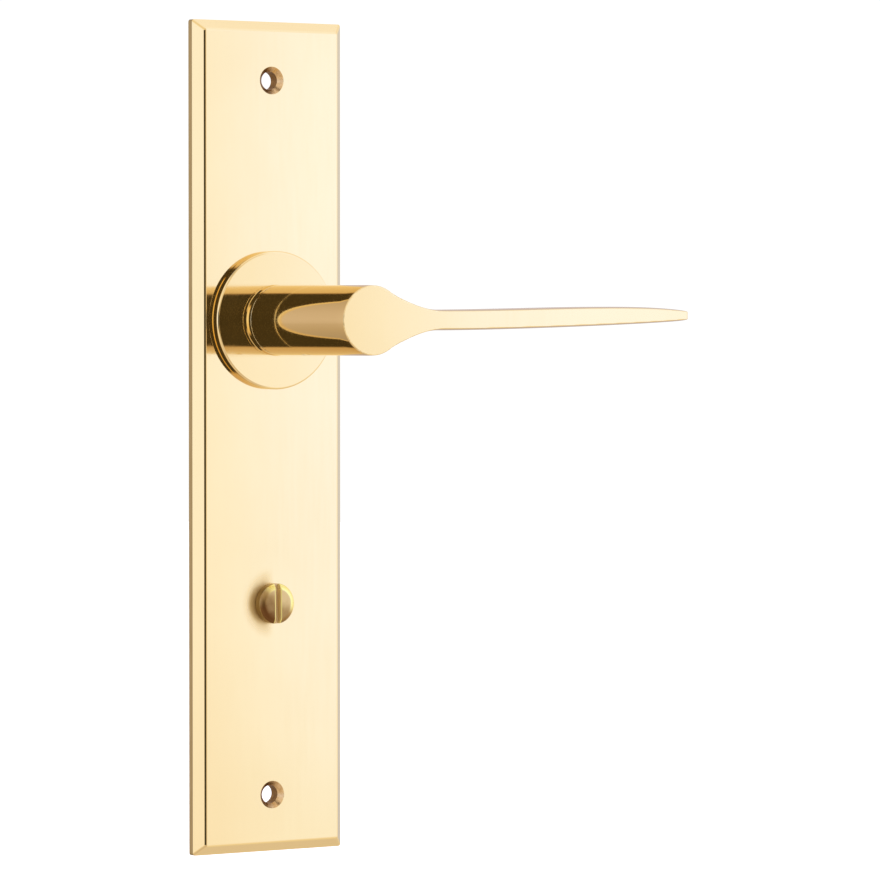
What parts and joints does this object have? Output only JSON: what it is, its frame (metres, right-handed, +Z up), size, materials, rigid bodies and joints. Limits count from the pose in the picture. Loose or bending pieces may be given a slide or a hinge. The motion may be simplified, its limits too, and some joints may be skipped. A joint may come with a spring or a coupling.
{
  "type": "lever handle lockset",
  "caption": "Polished brass lever handle on a long bevelled backplate, with a sprung lever and a coin-slot emergency release turn below it.",
  "frame": {"origin": "where the spindle's axis crosses the door's face, which is the plate's back", "axes": "+Z up along the plate, -Y out of the plate's front, +X along the lever"},
  "size_m": [0.1343, 0.0905, 0.2406],
  "materials": {
    "polished_brass": "mirror polished, unlacquered look",
    "turned_brass": "fine turned, satin",
    "dark_acetal": "moulded, satin",
    "pale_acetal": "moulded, satin",
    "plated_steel": "zinc plated",
    "spring_steel": "oil blackened"
  },
  "bodies": {
    "plate_body": {"backplate": "polished_brass", "rose": "polished_brass", "thrust_washer": "dark_acetal", "lever_bush": "pale_acetal", "return_spring": "spring_steel", "spring_anchor_pin": "plated_steel", "rest_stop_pin": "plated_steel", "end_stop_pin": "plated_steel", "spring_cover": "plated_steel", "cover_screws": "plated_steel", "release_bush": "pale_acetal", "release_wave_washer": "spring_steel"},
    "lever_body": {"lever": "polished_brass", "spring_driver": "plated_steel", "lever_circlip": "spring_steel", "lever_spindle": "plated_steel", "spindle_grub_screw": "spring_steel"},
    "release_body": {"release_turn": "turned_brass", "release_stop_washer": "plated_steel", "release_circlip": "spring_steel", "release_tail_bar": "plated_steel", "release_cross_pin": "plated_steel"}
  },
  "joints": [
    {"name": "lever_turn", "type": "hinge", "parent": "plate_body", "child": "lever_body", "pos_m": [0, 0, 0], "axis": [0, 1, 0], "range_deg": [0, 45], "stiffness_Nm_per_rad": 0.14, "springref_deg": -74.48, "deforming": ["return_spring"]},
    {"name": "release_quarter_turn", "type": "hinge", "parent": "plate_body", "child": "release_body", "pos_m": [0, 0, -0.082], "axis": [0, 1, 0], "range_deg": [0, 90]}
  ]
}
